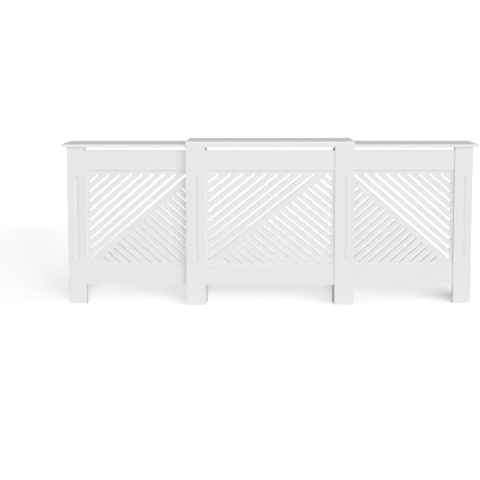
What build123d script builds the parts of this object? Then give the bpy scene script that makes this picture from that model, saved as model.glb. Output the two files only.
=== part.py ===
from build123d import *
import os
from math import atan2, cos, hypot, pi, sin

# Extending radiator cover in white fibreboard. A centre unit, with two wide legs, a panel and a
# top of its own, stands in front of two end units. Each end unit is a shelf, a leg, a gable and
# a panel, and its inner end slides behind the centre panel and under the centre top.
# X runs along the front, the front faces -Y, the wall stands at the rear, Z is up.
# The origin is on the floor under the middle of the cover. Every length is in millimetres.

# ---------------------------------------------------------------- driving dimensions
height = 810.0               # floor to the upper face of the centre top
depth = 200.0                # front of the centre unit to the wall
centre_width = 822.0         # centre unit over its legs, and the length of its top
shelf_length = 706.0         # shelf of one end unit
end_show = 5.0               # an end unit's inner end shows this far past the centre leg
board = 15.0                 # thickness of tops, shelves and gables

leg_thickness = 18.0
centre_leg_width = 95.0
end_leg_width = 88.0
rail_thickness = 12.0        # rails are flush with the backs of the legs
lattice_thickness = 15.0
lattice_step = 6.0           # front of a lattice's rim to the front of its slotted field
rim_lap = 10.0               # width of the rim that laps behind the rails and the leg
post_width = 35.0            # upright batten behind the inner end of an end unit's panel
post_thickness = 27.0

shelf_end_overhang = 24.0    # shelf past the gable
shelf_front_overhang = 12.0  # shelf past the front of its leg
apron_height = 15.0          # strip under the front of the centre top
vent_height = 15.0           # open gap under the apron
top_rail_height = 100.0
bottom_rail_height = 93.0
foot_gap = 100.0             # floor to the centre's bottom rail
end_panel_drop = 2.5         # the end panels sit this much lower than the centre panel

skirting_height = 100.0      # notch at the foot of each gable for the room's skirting board
skirting_depth = 20.0

front_step = 6.0             # back of the centre legs to the front of the end legs
shelf_play = 0.5             # running clearance around the sliding shelves
closed_gap = 1.0             # left between the two inner ends when the cover is pushed shut

flute_width = 25.0           # round-bottomed groove down the middle of each leg
flute_depth = 4.0
flute_low = 222.0
flute_high = 638.0

rail_ease = 2.0              # chamfer on the rail edges beside the lattice
arris = 1.0                  # small chamfer on the edges that hands touch

slot_width = 9.5             # slots of the lattice
slot_facets = 6              # flats that round each end of a slot
slot_side_margin = 15.5      # panel edge to the nearest slot-end centre
slot_end_margin = 20.0       # the same above and below
inner_end_margin = 22.0      # the same at the hidden inner end of an end unit
pitches_across = 10.3        # width of the slotted field in pitches of the long slots
pitches_down = 9.16          # its height in the same pitches
long_slots = 9
first_slot = 0.80            # pitches from the field's corner to the first long slot
family_gap = 1.11            # pitches between the last long slot and the crossing family
first_crossing = 0.045       # pitches from the field's top down to the first crossing slot
cross_step = 0.478           # pitches between starts of the crossing slots
cross_steepness = 1.033      # slope of the crossing slots over that of the long ones
shortest_slot = 16.0

dowel_radius = 3.0
dowel_sides = 8              # fluted dowels, and the holes and shanks that no one sees, have few sides
dowel_length = 24.0
dowel_play = 0.05
dowel_inset = 20.0           # outer edge of a rail to its dowel
dowel_spacing = 38.0

screw_radius = 1.75
shank_sides = 8
screw_play = 0.05
screw_bite = 12.0            # depth of a screw in the board that it holds
head_radius = 3.75
head_sides = 12
head_height = 2.5

block_width = 20.0           # plastic corner block between a gable and its shelf
block_length = 30.0
block_screw_offset = 7.0
block_inset = 35.0           # gable's front and rear edges to the middles of the blocks

bracket_reach = 40.0         # steel angle between a gable and the wall, both flanges
bracket_width = 20.0
bracket_thickness = 2.0
bracket_bend = 2.0
bracket_hole_inset = 10.0    # free edge of a flange to its nearest hole
wall_hole_radius = 2.75
wall_hole_spacing = 16.0

# ---------------------------------------------------------------- places worked out from them
half_centre = centre_width / 2
opening = half_centre - centre_leg_width
inner_end = opening - end_show
outer_end = inner_end + shelf_length
leg_outer = outer_end - shelf_end_overhang
leg_inner = leg_outer - end_leg_width
gable_inside = leg_outer - board

front = -depth / 2
wall = depth / 2
centre_back = front + leg_thickness
end_front = centre_back + front_step
end_back = end_front + leg_thickness
post_back = end_back + post_thickness
shelf_front = end_front - shelf_front_overhang
tongue_back = shelf_front - shelf_play
tongue_middle = (front + tongue_back) / 2

rim_thickness = lattice_thickness - lattice_step

centre_under = height - board
shelf_under = centre_under - shelf_play - board
block_under = shelf_under - block_width
apron_under = centre_under - apron_height
rail_top = apron_under - vent_height
opening_top = rail_top - top_rail_height
opening_bottom = foot_gap + bottom_rail_height
travel = inner_end - closed_gap / 2

directions = {"x": (1, 0, 0), "y": (0, 1, 0), "z": (0, 0, 1)}


# ---------------------------------------------------------------- shared shapes
def keep(block, name):
    """Labels a finished piece and writes it out under its name."""
    block.part.label = name
    export_step(block.part, f"parts/{name}.step")


def rectangle_between(u_low, u_high, v_low, v_high, mode=Mode.ADD):
    """A sketch rectangle given by its edges, in either order."""
    with Locations(((u_low + u_high) / 2, (v_low + v_high) / 2)):
        Rectangle(abs(u_high - u_low), abs(v_high - v_low), mode=mode)


def across(places, along):
    """Planes through the places, square to the named axis."""
    return [Plane(place, z_dir=directions[along]) for place in places]


def bars(planes, radius, sides, start, stop, mode=Mode.ADD):
    """Many-sided bars along the normals of the planes, from start to stop."""
    with BuildSketch(*[plane.offset(start) for plane in planes]) as outlines:
        RegularPolygon(radius, sides)
    extrude(outlines.sketch, amount=stop - start, mode=mode)


def dowels(planes):
    """Fluted wooden dowels, half on each side of their planes."""
    bars(planes, dowel_radius, dowel_sides, -dowel_length / 2, dowel_length / 2)


def dowel_holes(planes):
    """The holes for the same dowels, cut in either of the two boards that they join."""
    reach = (dowel_length + 1) / 2
    bars(planes, dowel_radius + dowel_play, dowel_sides, -reach, reach, mode=Mode.SUBTRACT)


def screws(seats, length):
    """Pan-head screws on planes that point into the wood, each with its head behind the plane."""
    bars(seats, screw_radius, shank_sides, 0, length)
    bars(seats, head_radius, head_sides, -head_height, 0)


def screw_holes(seats, length):
    """Holes for the shanks of screws on the same planes."""
    hole = screw_radius + screw_play
    bars(seats, hole, shank_sides, 0, length + screw_play, mode=Mode.SUBTRACT)


def flute(middle, face):
    """Cuts a cove with round ends into a leg's front face: a bar and two balls sunk in it."""
    radius = (flute_width**2 / 4 + flute_depth**2) / (2 * flute_depth)
    axis_y = face - radius + flute_depth
    low = flute_low + flute_width / 2
    high = flute_high - flute_width / 2
    with Locations((middle, axis_y, (low + high) / 2)):
        Cylinder(radius, high - low, mode=Mode.SUBTRACT)
    with Locations((middle, axis_y, low), (middle, axis_y, high)):
        Sphere(radius, mode=Mode.SUBTRACT)


def leg(edge, outer, top, back):
    """A fluted leg from the edge that faces the panel to the outer one, eased in front."""
    with BuildPart() as upright:
        with BuildSketch(Plane.XZ.offset(-back)):
            rectangle_between(edge, outer, 0, top)
        extrude(amount=leg_thickness)
        chamfer(upright.edges().filter_by(Axis.Z).group_by(Axis.Y)[0], arris)
        flute((edge + outer) / 2, back - leg_thickness)
    return upright


def rail(x_ends, low, high, lattice_above, back):
    """A rail, eased in front along the edge that meets the lattice."""
    with BuildPart() as bar:
        with BuildSketch(Plane.XZ.offset(-back)):
            rectangle_between(*x_ends, low, high)
        extrude(amount=rail_thickness)
        front_edges = bar.edges().filter_by(Axis.X).group_by(Axis.Y)[0].sort_by(Axis.Z)
        chamfer(front_edges[-1 if lattice_above else 0], rail_ease)
    return bar


def rail_joints(x_place, back, drop):
    """Planes of the dowels at the rails' ends, two for each rail, clear of the lattice."""
    low = foot_gap - drop + dowel_inset
    high = rail_top - drop - dowel_inset
    heights = (low, low + dowel_spacing, high - dowel_spacing, high)
    return across([(x_place, back - rail_thickness / 2, z) for z in heights], "x")


# ---------------------------------------------------------------- slotted lattice
def slot_lines(width, tall):
    """Centre lines of the slots in a field with its corner at 0, 0, as (u, v, end u, end v).

    Long slots climb from the near side to the top at one slope, each one pitch further along.
    The crossing slots start on a line parallel to them and fall to the far side or the bottom.
    """
    run = width / pitches_across
    rise = tall / pitches_down
    slope = rise / run
    fall = slope * cross_steepness
    lines = []
    for number in range(long_slots):
        reach = (number + first_slot) * run
        lines.append((0.0, tall - reach * slope, reach, tall))
    u = (long_slots - 1 + first_slot + family_gap - first_crossing) * run
    v = tall - first_crossing * rise
    while u > 0 and v > 0:
        drop = min(v, (width - u) * fall)
        if hypot(drop / fall, drop) >= shortest_slot:
            lines.append((u, v, u + drop / fall, v - drop))
        u -= cross_step * run
        v -= cross_step * rise
    return lines


def slot(u, v, end_u, end_v):
    """The outline of one slot in a sketch: two straight sides and two faceted ends."""
    heading = atan2(end_v - v, end_u - u)
    outline = []
    for centre_u, centre_v, turn in ((end_u, end_v, heading), (u, v, heading + pi)):
        for step in range(slot_facets + 1):
            angle = turn - pi / 2 + pi * step / slot_facets
            outline.append(
                (centre_u + slot_width / 2 * cos(angle), centre_v + slot_width / 2 * sin(angle))
            )
    Polygon(*outline, align=None)


def lattice(edge, far_edge, far_lap, far_margin, back, drop):
    """A slotted panel from the leg's edge to the far edge.

    Its slotted field fills the frame, and its thinner rim laps behind the frame's back.
    """
    hand = 1 if far_edge > edge else -1
    low = opening_bottom - drop
    high = opening_top - drop
    start = edge + hand * slot_side_margin
    floor = low + slot_end_margin
    lines = slot_lines(
        abs(far_edge - edge) - slot_side_margin - far_margin, high - low - 2 * slot_end_margin
    )
    with BuildPart() as panel:
        with BuildSketch(Plane.XZ.offset(-back - rim_thickness)):
            rectangle_between(
                edge - hand * rim_lap, far_edge + hand * far_lap, low - rim_lap, high + rim_lap
            )
        extrude(amount=rim_thickness)
        with BuildSketch(Plane.XZ.offset(-back)):
            rectangle_between(edge, far_edge, low, high)
        extrude(amount=lattice_step)
        with BuildSketch(Plane.XZ.offset(-back - rim_thickness)):
            for u, v, end_u, end_v in lines:
                slot(start + hand * u, floor + v, start + hand * end_u, floor + end_v)
        extrude(amount=lattice_thickness, mode=Mode.SUBTRACT)
    return panel


# ---------------------------------------------------------------- centre unit
def centre_unit():
    ends = {"left": -opening, "right": opening}
    outers = {"left": -half_centre, "right": half_centre}
    panel_joints = {name: rail_joints(ends[name], centre_back, 0.0) for name in ends}
    apron_joints = {
        name: across([(ends[name], tongue_middle, (apron_under + centre_under) / 2)], "x")
        for name in ends
    }
    leg_top_joints = {
        name: across(
            [
                (ends[name] + (outers[name] - ends[name]) * share, tongue_middle, centre_under)
                for share in (0.3, 0.8)
            ],
            "z",
        )
        for name in ends
    }
    apron_top_joints = across(
        [(x * 0.6, tongue_middle, centre_under) for x in ends.values()], "z"
    )
    top_joints = leg_top_joints["left"] + leg_top_joints["right"] + apron_top_joints
    both_panel_joints = panel_joints["left"] + panel_joints["right"]
    both_apron_joints = apron_joints["left"] + apron_joints["right"]

    with BuildPart() as top:
        with BuildSketch(Plane.XY.offset(centre_under)):
            rectangle_between(-half_centre, half_centre, front, wall)
        extrude(amount=board)
        chamfer(top.edges().group_by(Axis.Z)[-1].sort_by(Axis.Y)[:-1], arris)
        dowel_holes(top_joints)
    keep(top, "centre_top")

    for name in ends:
        upright = leg(ends[name], outers[name], centre_under, centre_back)
        with upright:
            # The head is cut back to a tongue, so that the end unit's shelf passes behind it.
            with BuildSketch(Plane.XZ.offset(-centre_back)) as cut_back:
                rectangle_between(
                    ends[name], outers[name], shelf_under - shelf_play, centre_under
                )
            extrude(cut_back.sketch, amount=centre_back - tongue_back, mode=Mode.SUBTRACT)
            dowel_holes(panel_joints[name] + apron_joints[name])
            dowel_holes(leg_top_joints[name])
        keep(upright, f"centre_leg_{name}")

    with BuildPart() as apron:
        with BuildSketch(Plane.XZ.offset(-tongue_back)):
            rectangle_between(-opening, opening, apron_under, centre_under)
        extrude(amount=tongue_back - front)
        dowel_holes(both_apron_joints)
        dowel_holes(apron_top_joints)
    keep(apron, "centre_apron")

    top_rail = rail((-opening, opening), opening_top, rail_top, False, centre_back)
    with top_rail:
        dowel_holes(both_panel_joints)
    keep(top_rail, "centre_top_rail")

    bottom_rail = rail((-opening, opening), foot_gap, opening_bottom, True, centre_back)
    with bottom_rail:
        dowel_holes(both_panel_joints)
    keep(bottom_rail, "centre_bottom_rail")

    slotted = lattice(-opening, opening, rim_lap, slot_side_margin, centre_back, 0.0)
    keep(slotted, "centre_lattice")

    with BuildPart() as panel_dowels:
        dowels(both_panel_joints)
    keep(panel_dowels, "centre_panel_dowels")

    with BuildPart() as top_dowels:
        dowels(both_apron_joints)
        dowels(top_joints)
    keep(top_dowels, "centre_top_dowels")


# ---------------------------------------------------------------- end units
def end_unit(side, name):
    """All the pieces of one end unit. side is -1 for the left unit and 1 for the right."""
    inner, outer = side * inner_end, side * outer_end
    leg_near, leg_far = side * leg_inner, side * leg_outer
    gable_face = side * gable_inside
    leg_middle_y = (end_front + end_back) / 2
    post_x = side * (inner_end + post_width / 2)
    foot = foot_gap - end_panel_drop
    low = opening_bottom - end_panel_drop
    high = opening_top - end_panel_drop
    head = rail_top - end_panel_drop

    panel_joints = rail_joints(leg_near, end_back, end_panel_drop)
    gable_joints = across(
        [((gable_face + leg_far) / 2, end_back, shelf_under * share) for share in (0.15, 0.5, 0.85)],
        "y",
    )
    leg_joints = across(
        [
            (leg_near + (leg_far - leg_near) * share, leg_middle_y, shelf_under)
            for share in (0.25, 0.75)
        ],
        "z",
    )
    post_joints = across([(post_x, end_back + post_thickness / 2, shelf_under)], "z")

    low_seat, high_seat = [
        Plane((post_x, post_back, z), x_dir=(1, 0, 0), z_dir=(0, -1, 0))
        for z in ((foot + low) / 2, (high + head) / 2)
    ]
    post_screw = post_thickness + rail_thickness * 2 / 3

    block_x = side * (gable_inside - block_width / 2)
    block_places = [(block_x, y) for y in (end_back + block_inset, wall - block_inset)]
    shelf_seats = [Plane((x, y - block_screw_offset, block_under)) for x, y in block_places]
    gable_seats = [
        Plane(
            (x - side * block_width / 2, y + block_screw_offset, block_under + block_width / 2),
            x_dir=(0, 1, 0),
            z_dir=(side, 0, 0),
        )
        for x, y in block_places
    ]
    block_screw = block_width + screw_bite

    bracket_z = (high + head) / 2
    bracket_seats = [
        Plane(
            (gable_face - side * bracket_thickness, y, bracket_z),
            x_dir=(0, 1, 0),
            z_dir=(side, 0, 0),
        )
        for y in (wall - bracket_reach + bracket_hole_inset, wall - bracket_hole_inset)
    ]
    bracket_screw = bracket_thickness + screw_bite

    with BuildPart() as shelf:
        with BuildSketch(Plane.XY.offset(shelf_under)):
            rectangle_between(inner, outer, shelf_front, wall)
        extrude(amount=board)
        front_edges = shelf.edges().filter_by(Axis.X).group_by(Axis.Y)[0]
        end_edges = shelf.edges().filter_by(Axis.Y).sort_by(Axis.X)
        outer_edges = end_edges[-2:] if side > 0 else end_edges[:2]
        chamfer(front_edges + outer_edges, arris)
        dowel_holes(leg_joints + post_joints)
        screw_holes(shelf_seats, block_screw)
    keep(shelf, f"{name}_shelf")

    upright = leg(leg_near, leg_far, shelf_under, end_back)
    with upright:
        dowel_holes(panel_joints)
        dowel_holes(gable_joints)
        dowel_holes(leg_joints)
    keep(upright, f"{name}_leg")

    with BuildPart() as gable:
        with BuildSketch(Plane.YZ.offset(min(gable_face, leg_far))):
            rectangle_between(end_back, wall, 0, shelf_under)
            rectangle_between(
                wall - skirting_depth, wall, 0, skirting_height, mode=Mode.SUBTRACT
            )
        extrude(amount=board)
        dowel_holes(gable_joints)
        screw_holes(gable_seats, block_screw)
        screw_holes(bracket_seats, bracket_screw)
    keep(gable, f"{name}_gable")

    top_rail = rail((inner, leg_near), high, head, False, end_back)
    with top_rail:
        dowel_holes(panel_joints)
        screw_holes([high_seat], post_screw)
    keep(top_rail, f"{name}_top_rail")

    bottom_rail = rail((inner, leg_near), foot, low, True, end_back)
    with bottom_rail:
        dowel_holes(panel_joints)
        screw_holes([low_seat], post_screw)
    keep(bottom_rail, f"{name}_bottom_rail")

    slotted = lattice(leg_near, inner, 0.0, inner_end_margin, end_back, end_panel_drop)
    keep(slotted, f"{name}_lattice")

    with BuildPart() as post:
        with BuildSketch(Plane.XZ.offset(-post_back)):
            rectangle_between(inner, inner + side * post_width, 0, shelf_under)
        extrude(amount=post_thickness)
        # Its front is housed for the lattice, which runs between it and the rails to the end.
        with BuildSketch(Plane.XZ.offset(-end_back - rim_thickness)):
            rectangle_between(inner, inner + side * post_width, low - rim_lap, high + rim_lap)
        extrude(amount=rim_thickness, mode=Mode.SUBTRACT)
        dowel_holes(post_joints)
        screw_holes([low_seat, high_seat], post_screw)
    keep(post, f"{name}_inner_post")

    with BuildPart() as unit_dowels:
        dowels(panel_joints)
        dowels(gable_joints)
        dowels(leg_joints + post_joints)
    keep(unit_dowels, f"{name}_dowels")

    with BuildPart() as post_screws:
        screws([low_seat, high_seat], post_screw)
    keep(post_screws, f"{name}_post_screws")

    with BuildPart() as blocks:
        with BuildSketch(Plane.XY.offset(block_under)):
            with Locations(*block_places):
                Rectangle(block_width, block_length)
        extrude(amount=block_width)
        screw_holes(shelf_seats, block_screw)
        screw_holes(gable_seats, block_screw)
    keep(blocks, f"{name}_corner_blocks")

    with BuildPart() as block_screws:
        screws(shelf_seats, block_screw)
        screws(gable_seats, block_screw)
    keep(block_screws, f"{name}_block_screws")

    angle = wall_bracket(side, gable_face, bracket_z, bracket_seats, bracket_screw)
    keep(angle, f"{name}_wall_bracket")

    with BuildPart() as bracket_screws:
        screws(bracket_seats, bracket_screw)
    keep(bracket_screws, f"{name}_bracket_screws")


def wall_bracket(side, gable_face, middle_z, seats, screw_length):
    """A bent steel strip: one flange on the gable, the other along the wall with two holes."""
    near = wall - bracket_reach
    far = gable_face - side * bracket_reach
    gable_flange = gable_face - side * bracket_thickness
    wall_flange = wall - bracket_thickness
    with BuildPart() as bracket:
        with BuildSketch(Plane.XY.offset(middle_z - bracket_width / 2)):
            with BuildLine():
                FilletPolyline(
                    (gable_face, near),
                    (gable_face, wall),
                    (far, wall),
                    radius=bracket_bend + bracket_thickness,
                )
                Line((far, wall), (far, wall_flange))
                FilletPolyline(
                    (far, wall_flange),
                    (gable_flange, wall_flange),
                    (gable_flange, near),
                    radius=bracket_bend,
                )
                Line((gable_flange, near), (gable_face, near))
            make_face()
        extrude(amount=bracket_width)
        screw_holes(seats, screw_length)
        first_hole = far + side * bracket_hole_inset
        with BuildSketch(Plane.XZ.offset(-wall)):
            with Locations(
                (first_hole, middle_z), (first_hole + side * wall_hole_spacing, middle_z)
            ):
                Circle(wall_hole_radius)
        extrude(amount=bracket_thickness, mode=Mode.SUBTRACT)
    return bracket


os.makedirs("parts", exist_ok=True)
centre_unit()
end_unit(-1, "left")
end_unit(1, "right")
print(f"overall {2 * outer_end:.0f} x {depth:.0f} x {height:.0f}, travel {travel:.1f} each side")
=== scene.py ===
from math import cos, pi, radians, sin

import bpy
import numpy as np
from mathutils import Euler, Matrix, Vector


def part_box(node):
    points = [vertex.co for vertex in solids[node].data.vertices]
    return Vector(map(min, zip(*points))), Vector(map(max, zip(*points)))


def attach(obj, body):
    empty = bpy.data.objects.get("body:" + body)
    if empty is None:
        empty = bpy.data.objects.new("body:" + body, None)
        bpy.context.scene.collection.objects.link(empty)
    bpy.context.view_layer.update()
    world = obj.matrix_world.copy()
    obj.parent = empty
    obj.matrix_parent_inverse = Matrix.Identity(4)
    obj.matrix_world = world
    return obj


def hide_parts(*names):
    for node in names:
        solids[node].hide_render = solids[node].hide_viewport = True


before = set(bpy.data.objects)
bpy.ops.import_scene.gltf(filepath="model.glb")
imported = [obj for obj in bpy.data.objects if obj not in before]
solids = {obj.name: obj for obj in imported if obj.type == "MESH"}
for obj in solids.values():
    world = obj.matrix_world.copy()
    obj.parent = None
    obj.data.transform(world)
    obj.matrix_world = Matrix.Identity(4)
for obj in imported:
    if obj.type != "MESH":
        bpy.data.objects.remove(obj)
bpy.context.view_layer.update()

# An extending radiator cover in satin white paint, drawn out to its full width. The boards, the
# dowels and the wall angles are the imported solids. This script gives them their finishes, makes
# the screws and the moulded corner blocks, and sets up the camera, the light and the floor.
# Lengths are in metres.


# ---------------------------------------------------------------- camera
# The camera stands in front of the cover, higher than its top, and looks slightly down. Its
# shift lifts the cover to where the photograph has it, above the middle of the frame. Turn and
# tilt are in radians.
lens_turn = -0.0038
lens_tilt = 0.0644
camera = bpy.data.objects.new("camera", bpy.data.cameras.new("camera"))
bpy.context.scene.collection.objects.link(camera)
camera.location = (-0.0304, -3.3944, 1.1265)
camera.rotation_euler = Euler((pi / 2 - lens_tilt, 0.0, lens_turn))
camera.data.sensor_width = 36.0
camera.data.lens = 51.21
camera.data.shift_x = -0.055
camera.data.shift_y = -0.25
camera.data.clip_start = 0.05
camera.data.clip_end = 200.0
bpy.context.scene.camera = camera
bpy.context.scene.view_settings.view_transform = "Standard"


# ---------------------------------------------------------------- nodes
def put(tree, kind, settings=None, **sockets):
    """A new node with its settings, and its sockets set to a value or linked to an output. A
    socket goes by its name, or by n and its number where several share one name."""
    node = tree.nodes.new(kind)
    for name, value in (settings or {}).items():
        setattr(node, name, value)
    for name, value in sockets.items():
        socket = node.inputs[int(name[1:]) if name[0] == "n" and name[1:].isdigit() else name]
        if isinstance(value, bpy.types.NodeSocket):
            tree.links.new(value, socket)
        else:
            socket.default_value = value
    return node


def new_finish(name):
    """An empty finish: the material, its node tree, its shader and the piece's coordinates."""
    finish = bpy.data.materials.new(name)
    finish.use_nodes = True
    tree = finish.node_tree
    shader = tree.nodes["Principled BSDF"]
    place = tree.nodes.new("ShaderNodeTexCoord").outputs["Object"]
    return finish, tree, shader, place


def grain(tree, place, per_metre, detail=2.0, stretch=(1.0, 1.0, 1.0), seed=0.0):
    """Noise of so many features per metre, drawn out along an axis where stretch is small."""
    laid = put(tree, "ShaderNodeMapping", Vector=place, Scale=stretch, Location=(seed, seed, seed))
    return put(
        tree, "ShaderNodeTexNoise", Vector=laid.outputs["Vector"], Scale=per_metre, Detail=detail
    ).outputs["Fac"]


def between(tree, share, low, high):
    """A number that runs from low to high as the share runs from 0 to 1."""
    ranged = put(tree, "ShaderNodeMapRange", Value=share)
    ranged.inputs["To Min"].default_value = low
    ranged.inputs["To Max"].default_value = high
    return ranged.outputs["Result"]


def blend_values(tree, share, first, second):
    """A number that runs from the first to the second, each an output of another node. The mix
    node takes numbers at its sockets 2 and 3 and gives one at 0."""
    mix = put(tree, "ShaderNodeMix", {"data_type": "FLOAT"}, Factor=share, n2=first, n3=second)
    return mix.outputs[0]


def blend_colours(tree, share, first, second):
    """A colour that runs from the first to the second, each a colour or an output. The mix node
    takes colours at its sockets 6 and 7 and gives one at 2."""
    mix = put(tree, "ShaderNodeMix", {"data_type": "RGBA"}, Factor=share)
    for socket, colour in ((mix.inputs[6], first), (mix.inputs[7], second)):
        if isinstance(colour, bpy.types.NodeSocket):
            tree.links.new(colour, socket)
        else:
            socket.default_value = (*colour, 1.0)
    return mix.outputs[2]


def relief(tree, height, depth, strength=1.0, over=None):
    """The bumps of a height from 0 to 1, depth metres deep, over earlier bumps if any."""
    bump = put(tree, "ShaderNodeBump", Height=height, Distance=depth, Strength=strength)
    if over is not None:
        tree.links.new(over, bump.inputs["Normal"])
    return bump.outputs["Normal"]


# ---------------------------------------------------------------- finishes
# Pairs of tones that a finish runs between. The tones of the cut edges and, palest of all, of the
# slots' walls are painted light: they are paler than the faces, so these shaded surfaces stay as
# pale as the faces though little light gets into them.
board_faces = ((0.800, 0.797, 0.812), (0.812, 0.808, 0.822))
sawn_edges_painted_light = ((0.836, 0.832, 0.846), (0.866, 0.862, 0.874))
slot_walls_painted_light = ((0.950, 0.946, 0.954), (0.970, 0.966, 0.972))

face_roughness = (0.40, 0.52)
edge_roughness = (0.55, 0.68)
peel_depth = 0.00004
layer_depth = 0.00012
layer_thinness = 14.0
face_lean = 0.5
edge_lean = 0.2


def satin_paint(name, square_to, edge_tones_painted_light):
    """Sprayed satin white on fibreboard, with square_to the axis square to the board's faces.

    The faces have the fine orange peel of sprayed paint and a slight waviness of sheen. The cut
    edges drink more paint: they are a touch duller and keep the fine layers of the board, in tones
    that run between the two of its last argument. These tones are paler than the faces': painted
    light, making up for the shade that the edges and the slots' walls get. A surface is face where
    the part of its normal along square_to is above face_lean, and cut edge where it is below
    edge_lean.
    """
    finish, tree, shader, place = new_finish(name)
    coordinates = tree.nodes["Texture Coordinate"]
    facing = put(tree, "ShaderNodeSeparateXYZ", Vector=coordinates.outputs["Normal"])
    lean = put(tree, "ShaderNodeMath", {"operation": "ABSOLUTE"}, n0=facing.outputs[square_to])
    edge = put(tree, "ShaderNodeMapRange", Value=lean.outputs[0])
    edge.inputs["From Min"].default_value = face_lean
    edge.inputs["From Max"].default_value = edge_lean
    on_edge = edge.outputs["Result"]

    cloud = grain(tree, place, per_metre=7.0, detail=3.0)
    face_colour = blend_colours(tree, cloud, *board_faces)
    through_board = [1.0, 1.0, 1.0]
    through_board["XYZ".index(square_to)] = layer_thinness
    layers = grain(tree, place, per_metre=110.0, detail=4.0, stretch=through_board, seed=3.0)
    # Painted light: the edges' tones are paler than the faces' to make up for the shade they get.
    edge_grain_painted_light = blend_colours(tree, layers, *edge_tones_painted_light)
    tree.links.new(
        blend_colours(tree, on_edge, face_colour, edge_grain_painted_light), shader.inputs["Base Color"]
    )

    waves = grain(tree, place, per_metre=24.0, detail=4.0, seed=5.0)
    sheen = between(tree, waves, *face_roughness)
    dull = between(tree, layers, *edge_roughness)
    tree.links.new(blend_values(tree, on_edge, sheen, dull), shader.inputs["Roughness"])
    shader.inputs["IOR"].default_value = 1.45

    peel = relief(tree, grain(tree, place, per_metre=480.0, seed=9.0), peel_depth, 0.6)
    edge_layers = put(tree, "ShaderNodeMath", {"operation": "MULTIPLY"}, n0=layers, n1=on_edge)
    tree.links.new(
        relief(tree, edge_layers.outputs[0], layer_depth, 0.8, over=peel), shader.inputs["Normal"]
    )
    return finish


def beech():
    """Plain beech of the dowels: pale pinkish brown with short dark flecks along the grain."""
    finish, tree, shader, place = new_finish("beech_dowel")
    fibre = grain(tree, place, per_metre=220.0, detail=4.0, stretch=(1.0, 1.0, 0.12))
    wood = blend_colours(tree, fibre, (0.58, 0.38, 0.22), (0.72, 0.52, 0.33))
    fleck = put(tree, "ShaderNodeTexVoronoi", Vector=place, Scale=420.0)
    off_fleck = put(tree, "ShaderNodeMapRange", Value=fleck.outputs["Distance"])
    off_fleck.inputs["From Max"].default_value = 0.25
    tree.links.new(
        blend_colours(tree, off_fleck.outputs["Result"], (0.42, 0.25, 0.14), wood),
        shader.inputs["Base Color"],
    )
    tree.links.new(between(tree, fibre, 0.55, 0.72), shader.inputs["Roughness"])
    tree.links.new(relief(tree, fibre, 0.0001, 0.5), shader.inputs["Normal"])
    return finish


def zinc(name, spangle_per_metre, tint):
    """Zinc on steel: soft crystal patches in the plating, with drawing marks and fine scratches.
    The patches' tones run down from the tint to a darker share of it."""
    finish, tree, shader, place = new_finish(name)
    shader.inputs["Metallic"].default_value = 1.0
    patch = put(tree, "ShaderNodeTexVoronoi", Vector=place, Scale=spangle_per_metre)
    tone = put(tree, "ShaderNodeSeparateColor", Color=patch.outputs["Color"]).outputs[0]
    scratch = grain(
        tree, place, per_metre=900.0, detail=3.0, stretch=(1.0, 0.06, 1.0), seed=2.0
    )
    dark = tuple(value * 0.86 for value in tint)
    tree.links.new(blend_colours(tree, tone, dark, tint), shader.inputs["Base Color"])
    spread = put(tree, "ShaderNodeMath", {"operation": "MULTIPLY"}, n0=tone, n1=scratch)
    tree.links.new(between(tree, spread.outputs[0], 0.28, 0.5), shader.inputs["Roughness"])
    tree.links.new(relief(tree, scratch, 0.00002, 0.5), shader.inputs["Normal"])
    return finish


def moulded_plastic():
    """White moulded corner blocks: a fine spark-eroded grain and a faint flow of tone."""
    finish, tree, shader, place = new_finish("moulded_white")
    flow = grain(tree, place, per_metre=60.0, detail=3.0, stretch=(1.0, 1.0, 0.4))
    tree.links.new(
        blend_colours(tree, flow, (0.77, 0.77, 0.74), (0.81, 0.81, 0.79)),
        shader.inputs["Base Color"],
    )
    pits = grain(tree, place, per_metre=1600.0, seed=4.0)
    tree.links.new(between(tree, pits, 0.38, 0.5), shader.inputs["Roughness"])
    tree.links.new(relief(tree, pits, 0.00003, 0.6), shader.inputs["Normal"])
    return finish


# The cut edges of every paint, and most of all the lattice's slot walls, carry painted light in
# their paler tones.
paint_on_fronts = satin_paint("satin_paint_fronts", "Y", sawn_edges_painted_light)
paint_on_tops = satin_paint("satin_paint_tops", "Z", sawn_edges_painted_light)
paint_on_gables = satin_paint("satin_paint_gables", "X", sawn_edges_painted_light)
paint_on_lattice = satin_paint("satin_paint_lattice", "Y", slot_walls_painted_light)
dowel_beech = beech()
screw_zinc = zinc("zinc_screws", 700.0, (0.62, 0.62, 0.60))
bracket_zinc = zinc("zinc_sheet", 240.0, (0.68, 0.69, 0.70))
block_white = moulded_plastic()

# By the last word of a node's name. All the other nodes are boards that face the room.
finish_of = {
    "top": paint_on_tops,
    "shelf": paint_on_tops,
    "gable": paint_on_gables,
    "lattice": paint_on_lattice,
    "dowels": dowel_beech,
    "screws": screw_zinc,
    "blocks": block_white,
    "bracket": bracket_zinc,
}
for name, solid in solids.items():
    solid.data.materials.clear()
    solid.data.materials.append(finish_of.get(name.rsplit("_", 1)[1], paint_on_fronts))


# ---------------------------------------------------------------- new pieces
def smooth_step(value):
    """0 below 0, 1 above 1 and an S curve between them: 3v^2 - 2v^3."""
    held = np.clip(value, 0.0, 1.0)
    return held * held * (3.0 - 2.0 * held)


def smooth_piece(name, points, faces, finish):
    """A new object of the scene: a smooth mesh of these points and faces."""
    mesh = bpy.data.meshes.new(name)
    mesh.from_pydata(points, [], faces)
    mesh.polygons.foreach_set("use_smooth", np.ones(len(faces), bool))
    mesh.materials.append(finish)
    piece = bpy.data.objects.new(name, mesh)
    bpy.context.scene.collection.objects.link(piece)
    return piece


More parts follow.
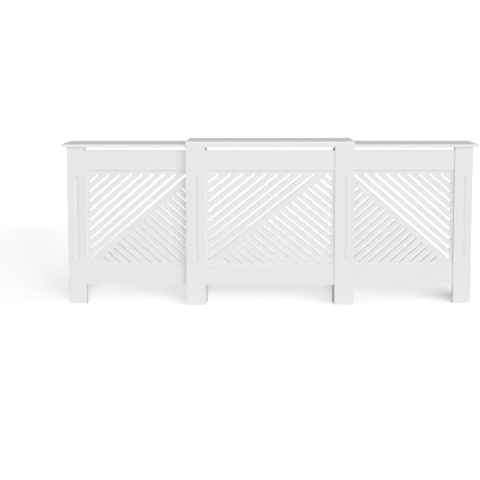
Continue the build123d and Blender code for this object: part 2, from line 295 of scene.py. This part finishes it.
# ---------------------------------------------------------------- screws
# The recess's walls drop over its two runs, at its sides and at its ends. A ridge of the thread
# reaches ridge_share of the pitch to either side of its crest, and the thread has its full height
# from thread_start down. The last ring stops tip_blunt short of the point.
head_radius = 0.00375
head_height = 0.0025
head_dome = 0.0007
head_rim_round = 0.0008
head_under_edge = 0.0001
neck_flare = 0.0003
recess_reach = 0.0019
recess_depth = 0.0013
recess_slot = 0.00085
recess_side_run = 0.00025
recess_end_run = 0.0005

crest_radius = 0.00175
root_radius = 0.00125
thread_pitch = 0.0016
ridge_share = 0.28
thread_start = 0.002
tip_length = 0.004
tip_blunt = 0.0002

points_around = 48
dome_rings = 21
rim_rings = 5
rings_per_pitch = 8

post_screw_length = 0.035
block_screw_length = 0.032
bracket_screw_length = 0.014

# Each end unit has two corner blocks, with a screw to either side of a block's middle.
block_length = 0.030
block_offset = 0.007
bracket_thickness = 0.002
bracket_hole_inset = 0.010


def pan_head_screw(length):
    """The skin of a wood screw as rings of points from the middle of its head to its tip, and
    the heights of the two points that close it.

    The skin is a profile turned about the Z axis. Over the head the ring's radius grows from 0
    and the height falls from the dome's by head_dome times the square of the radius as a share
    of head_radius; the cross recess sinks it where the lesser of |x| and |y| is within the slot
    and the radius is within the recess's reach. Then the profile drops down the rounded rim,
    runs in under the head and down the shank. On the shank the radius swings between root and
    crest as the fraction of (depth / pitch - turn) passes its middle, and over the last stretch
    it shrinks in proportion to what is left of the length.
    """
    turn = np.linspace(0.0, 2.0 * pi, points_around, endpoint=False)

    dome_radius = np.linspace(0.0, head_radius - head_rim_round, dome_rings + 1)[1:]
    dome_height = head_height - head_dome * (dome_radius / head_radius) ** 2
    rim = np.linspace(0.0, pi / 2, rim_rings + 1)[1:]
    rim_radius = head_radius - head_rim_round + head_rim_round * np.sin(rim)
    rim_height = dome_height[-1] - head_rim_round + head_rim_round * np.cos(rim)
    under_radius = np.array(
        [head_radius, head_radius - head_under_edge, crest_radius + neck_flare]
    )
    under_height = np.array([head_under_edge, 0.0, 0.0])
    head_r = np.concatenate([dome_radius, rim_radius, under_radius])[:, None]
    head_z = np.concatenate([dome_height, rim_height, under_height])[:, None]
    x = head_r * np.cos(turn)
    y = head_r * np.sin(turn)
    off_slot = np.minimum(abs(x), abs(y)) - recess_slot / 2
    in_slot = smooth_step(0.5 - off_slot / recess_side_run)
    in_reach = smooth_step((recess_reach - head_r) / recess_end_run)
    on_dome = np.arange(len(head_r))[:, None] < dome_rings
    head_rings = np.stack([x, y, head_z - recess_depth * in_slot * in_reach * on_dome], -1)

    rings = int(length / thread_pitch * rings_per_pitch)
    depth = np.linspace(0.0, length - tip_blunt, rings)[:, None]
    phase = np.mod(depth / thread_pitch - turn / (2.0 * pi), 1.0)
    ridge = smooth_step(1.0 - abs(phase - 0.5) / ridge_share)
    cut = smooth_step(depth / thread_start)
    radius = root_radius + (crest_radius - root_radius) * ridge * cut
    radius = radius * np.minimum(1.0, (length - depth) / tip_length)
    shank_rings = np.stack(
        [radius * np.cos(turn), radius * np.sin(turn), -depth + 0.0 * turn], -1
    )
    return np.concatenate([head_rings, shank_rings]), head_height - recess_depth, -length


def closed_skin(rings, top, bottom):
    """Points and faces of rings joined to their neighbours, with a fan to a point at each end.

    The faces are index arrays: each quad takes two neighbours on a ring and the same two on the
    next, and each fan takes two neighbours on an end ring and the end's middle point.
    """
    rows, around = rings.shape[:2]
    points = np.concatenate([rings.reshape(-1, 3), [(0.0, 0.0, top), (0.0, 0.0, bottom)]])
    index = np.arange(rows * around).reshape(rows, around)
    beside = np.roll(index, -1, axis=1)
    quads = np.stack([index[:-1], index[1:], beside[1:], beside[:-1]], -1).reshape(-1, 4)
    end_point = np.full(around, rows * around)
    fan_top = np.stack([index[0], beside[0], end_point], -1)
    fan_bottom = np.stack([beside[-1], index[-1], end_point + 1], -1)
    return points, quads, np.concatenate([fan_top, fan_bottom])


def set_in_place(points, seats):
    """Copies of the points, one to a seat. A seat is a place and the way the screw is driven:
    local -Z turns to that way, and the other two axes follow at right angles."""
    copies = []
    for place, way in seats:
        turned = Vector(way).to_track_quat("-Z", "Y").to_matrix()
        copies.append(points @ np.array(turned).T + np.array(place))
    return copies


def screw_set(name, body, node, length, seats):
    """All the screws of one CAD node as one mesh that rides on the body and stands for it."""
    points, quads, fans = closed_skin(*pan_head_screw(length))
    copies = np.concatenate(set_in_place(points, seats))
    shifts = np.arange(len(seats))[:, None, None] * len(points)
    faces = (quads + shifts).reshape(-1, 4).tolist() + (fans + shifts).reshape(-1, 3).tolist()
    piece = smooth_piece(name, copies, faces, screw_zinc)
    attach(piece, body)
    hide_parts(node)


def middle(node):
    """The middle of a CAD node's box."""
    low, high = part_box(node)
    return (low + high) / 2


def unit_screws(side, outward):
    """The three kinds of screw of one end unit, seated on its own pieces."""
    body = f"{side}_unit"
    post = middle(f"{side}_inner_post")
    post_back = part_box(f"{side}_inner_post")[1].y
    rails = [middle(f"{side}_{rail}").z for rail in ("bottom_rail", "top_rail")]
    screw_set(
        f"{side}_rail_screws",
        body,
        f"{side}_post_screws",
        post_screw_length,
        [((post.x, post_back, z), (0.0, -1.0, 0.0)) for z in rails],
    )

    low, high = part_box(f"{side}_corner_blocks")
    block_x = (low.x + high.x) / 2
    inner_x = low.x if outward > 0 else high.x
    block_rows = (low.y + block_length / 2, high.y - block_length / 2)
    upward = [((block_x, y - block_offset, low.z), (0.0, 0.0, 1.0)) for y in block_rows]
    sideways = [
        ((inner_x, y + block_offset, (low.z + high.z) / 2), (outward, 0.0, 0.0))
        for y in block_rows
    ]
    screw_set(
        f"{side}_corner_block_screws",
        body,
        f"{side}_block_screws",
        block_screw_length,
        upward + sideways,
    )

    low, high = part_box(f"{side}_wall_bracket")
    flange_x = high.x - bracket_thickness if outward > 0 else low.x + bracket_thickness
    screw_set(
        f"{side}_angle_screws",
        body,
        f"{side}_bracket_screws",
        bracket_screw_length,
        [
            ((flange_x, y, (low.z + high.z) / 2), (outward, 0.0, 0.0))
            for y in (low.y + bracket_hole_inset, high.y - bracket_hole_inset)
        ],
    )


unit_screws("left", -1.0)
unit_screws("right", 1.0)


# ---------------------------------------------------------------- corner blocks
# The edges are rounded by block_round. A sunk panel keeps panel_inset from the face's outline, has
# corners of panel_corner and is panel_depth deep, and its walls run down over wall_run.
block_round = 0.0016
block_round_steps = 4
block_step = 0.0004
panel_inset = 0.0020
panel_corner = 0.0025
panel_depth = 0.0011
boss_radius = 0.0051
wall_run = 0.0006


def block_line(half):
    """Places along one edge of a block: even steps on the flat part, and at each end steps of
    equal angle over the rounding, at the tangent of the angle times the rounding."""
    flat = half - block_round
    steps = np.linspace(-flat, flat, int(round(2 * flat / block_step)) + 1)
    angles = np.linspace(0.0, pi / 4, block_round_steps + 1)[1:]
    rounding = flat + block_round * np.tan(angles)
    return np.concatenate([-rounding[::-1], steps, rounding])


def sunk_panel(across, along, half_across, half_along, boss_at):
    """How deep a block's face is sunk: panel_depth within a rounded rectangle, but not on the
    round boss. The rectangle's edge is where the distance to its inner core, of half sizes less
    panel_corner, equals panel_corner, and both walls run down over wall_run."""
    over_across = np.maximum(abs(across) - (half_across - panel_inset - panel_corner), 0.0)
    over_along = np.maximum(abs(along) - (half_along - panel_inset - panel_corner), 0.0)
    outside = np.hypot(over_across, over_along) - panel_corner
    off_boss = np.hypot(across, along - boss_at) - boss_radius
    within = smooth_step(0.5 - outside / wall_run)
    return panel_depth * within * smooth_step(0.5 + off_boss / wall_run)


def moulded_block(half, outward):
    """Points and faces of one corner block about its own middle.

    The points are those of a grid box that lie on its outside, each shared by the faces that
    meet there. Each is moved to its nearest point of the core, which is the box less the
    rounding, plus the rounding times the unit vector that points from there to it. The under
    face and the one towards the radiator are then sunk, apart from a rim and the screw's boss.
    """
    lines = [block_line(value) for value in half]
    counts = [len(line) for line in lines]
    sides = []
    for axis in range(3):
        first, second = (axis + 1) % 3, (axis + 2) % 3
        along_first, along_second = np.meshgrid(
            np.arange(counts[first]), np.arange(counts[second]), indexing="ij"
        )
        for end in (0, counts[axis] - 1):
            grid = [None, None, None]
            grid[axis] = np.full_like(along_first, end)
            grid[first], grid[second] = along_first, along_second
            index = np.ravel_multi_index(grid, counts)
            quads = np.stack([index[:-1, :-1], index[1:, :-1], index[1:, 1:], index[:-1, 1:]], -1)
            quads = quads.reshape(-1, 4)
            sides.append(quads if end else quads[:, ::-1])
    used, faces = np.unique(np.concatenate(sides), return_inverse=True)
    at = np.unravel_index(used, counts)
    points = np.stack([line[index] for line, index in zip(lines, at)], -1)
    core_half = np.array(half) - block_round
    core = np.clip(points, -core_half, core_half)
    away = points - core
    points = core + block_round * away / np.linalg.norm(away, axis=1)[:, None]

    under = at[2] == 0
    sunk = sunk_panel(points[:, 0], points[:, 1], half[0], half[1], -block_offset)
    points[:, 2] += under * sunk
    towards_radiator = at[0] == (0 if outward > 0 else counts[0] - 1)
    sunk = sunk_panel(points[:, 2], points[:, 1], half[2], half[1], block_offset)
    points[:, 0] += towards_radiator * sunk * outward
    return points, faces.reshape(-1, 4)


def unit_blocks(side, outward):
    """The two moulded corner blocks of one end unit, in the places of the CAD ones."""
    low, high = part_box(f"{side}_corner_blocks")
    half = ((high.x - low.x) / 2, block_length / 2, (high.z - low.z) / 2)
    points, faces = moulded_block(half, outward)
    rows = (low.y + half[1], high.y - half[1])
    middles = np.array([((low.x + high.x) / 2, y, (low.z + high.z) / 2) for y in rows])
    both = (points + middles[:, None]).reshape(-1, 3)
    shifts = np.arange(len(rows))[:, None, None] * len(points)
    faces = (faces + shifts).reshape(-1, 4).tolist()
    piece = smooth_piece(f"{side}_moulded_blocks", both, faces, block_white)
    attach(piece, f"{side}_unit")
    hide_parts(f"{side}_corner_blocks")


unit_blocks("left", -1.0)
unit_blocks("right", 1.0)


# ---------------------------------------------------------------- floor
# The paper runs from the front tone to the paler back tone over a stretch behind the cover, and
# only near the middle, where the distance to either side falls over the side run. The paler back
# tone is painted light, which lightens the cover's shadow on the floor behind it.
front_paper = (0.750, 0.750, 0.750)
back_paper_painted_light = (0.89, 0.89, 0.89)
plain_paper = (0.65, 0.65, 0.65)
painted_light_back_run = (0.25, 0.75)
painted_light_side_run = (1.9, 0.6)
floor_reach = 40.0


def fading(tree, value, start, stop):
    """0 at start and 1 at stop, with a soft run between them, for a value in metres."""
    ranged = put(tree, "ShaderNodeMapRange", {"interpolation_type": "SMOOTHSTEP"}, Value=value)
    ranged.inputs["From Min"].default_value = start
    ranged.inputs["From Max"].default_value = stop
    return ranged.outputs["Result"]


def white_paper():
    """The floor. The camera sees white paper that keeps the cover's shadow: three layers of its
    tone added together, which the lamps bring up to white. Behind the cover its tone is paler,
    painted light that lightens the shadow there. Every other ray sees plain paper."""
    finish, tree, shader, place = new_finish("paper_floor")
    tree.nodes.remove(shader)
    at = put(tree, "ShaderNodeSeparateXYZ", Vector=place)
    aside = put(tree, "ShaderNodeMath", {"operation": "ABSOLUTE"}, n0=at.outputs["X"])
    # The share of painted light: the paper turns paler behind the cover to lighten the cover's
    # shadow there.
    painted_light_behind = put(
        tree,
        "ShaderNodeMath",
        {"operation": "MULTIPLY"},
        n0=fading(tree, at.outputs["Y"], *painted_light_back_run),
        n1=fading(tree, aside.outputs[0], *painted_light_side_run),
    )
    paper_tone_and_painted_light = blend_colours(tree, painted_light_behind.outputs[0], front_paper, back_paper_painted_light)
    layer = put(tree, "ShaderNodeBsdfDiffuse", Color=paper_tone_and_painted_light).outputs[0]
    doubled = put(tree, "ShaderNodeAddShader", n0=layer, n1=layer).outputs[0]
    seen = put(tree, "ShaderNodeAddShader", n0=doubled, n1=layer).outputs[0]
    plain = put(tree, "ShaderNodeBsdfDiffuse", Color=(*plain_paper, 1.0)).outputs[0]
    to_camera = put(tree, "ShaderNodeLightPath").outputs["Is Camera Ray"]
    surface = put(tree, "ShaderNodeMixShader", n0=to_camera, n1=plain, n2=seen)
    tree.links.new(surface.outputs[0], tree.nodes["Material Output"].inputs["Surface"])
    return finish


corners = np.array([(-1.0, -1.0, 0.0), (1.0, -1.0, 0.0), (1.0, 1.0, 0.0), (-1.0, 1.0, 0.0)])
floor_mesh = bpy.data.meshes.new("floor")
floor_mesh.from_pydata(corners * floor_reach, [], [(0, 1, 2, 3)])
floor_mesh.materials.append(white_paper())
floor = bpy.data.objects.new("floor", floor_mesh)
bpy.context.scene.collection.objects.link(floor)


# ---------------------------------------------------------------- light
horizon_light = 1.0


def soft_lamp(name, aside, height, width, strength):
    """A broad lamp, so far off that its light is even. Aside is the angle from the front to the
    right, height the angle above the floor and width its own size, all in degrees."""
    lamp = bpy.data.lights.new(name, "SUN")
    lamp.energy = strength
    lamp.angle = radians(width)
    light = bpy.data.objects.new(name, lamp)
    bpy.context.scene.collection.objects.link(light)
    turn = radians(aside)
    lift = radians(height)
    toward = Vector((sin(turn) * cos(lift), -cos(turn) * cos(lift), sin(lift)))
    light.rotation_euler = toward.to_track_quat("Z", "Y").to_euler()


def pale_room():
    """The world: white to the camera and in reflections, and otherwise a soft light that is
    strongest at the horizon and falls off as the square of 1 less the direction's height."""
    world = bpy.data.worlds.new("studio")
    bpy.context.scene.world = world
    world.use_nodes = True
    sky = world.node_tree
    sky.nodes.clear()
    direction = put(sky, "ShaderNodeTexCoord").outputs["Generated"]
    upward = put(sky, "ShaderNodeSeparateXYZ", Vector=direction).outputs["Z"]
    low_down = put(
        sky, "ShaderNodeMath", {"operation": "SUBTRACT", "use_clamp": True}, n0=1.0, n1=upward
    )
    squared = put(sky, "ShaderNodeMath", {"operation": "POWER"}, n0=low_down.outputs[0], n1=2.0)
    fill = put(
        sky, "ShaderNodeMath", {"operation": "MULTIPLY"}, n0=squared.outputs[0], n1=horizon_light
    )
    room = put(sky, "ShaderNodeBackground", Strength=fill.outputs[0])
    white = put(sky, "ShaderNodeBackground", Strength=1.0)
    for background in (room, white):
        background.inputs["Color"].default_value = (1.0, 1.0, 1.0, 1.0)
    rays = put(sky, "ShaderNodeLightPath")
    mirrored = put(
        sky,
        "ShaderNodeMath",
        {"operation": "MAXIMUM"},
        n0=rays.outputs["Is Glossy Ray"],
        n1=rays.outputs["Is Transmission Ray"],
    )
    seen = put(
        sky,
        "ShaderNodeMath",
        {"operation": "MAXIMUM"},
        n0=rays.outputs["Is Camera Ray"],
        n1=mirrored.outputs[0],
    )
    shown = put(
        sky, "ShaderNodeMixShader", n0=seen.outputs[0], n1=room.outputs[0], n2=white.outputs[0]
    )
    out = put(sky, "ShaderNodeOutputWorld")
    sky.links.new(shown.outputs[0], out.inputs["Surface"])


soft_lamp("front_lamp", 4.0, 9.0, 16.0, 1.204)
soft_lamp("front_right_lamp", 30.0, 22.0, 12.0, 0.327)
soft_lamp("right_lamp", 52.0, 20.0, 30.0, 0.547)
soft_lamp("side_lamp", 90.0, 30.0, 30.0, 0.344)
soft_lamp("left_lamp", -68.0, 35.0, 40.0, 0.376)
soft_lamp("back_lamp", 180.0, 45.0, 40.0, 0.080)
pale_room()
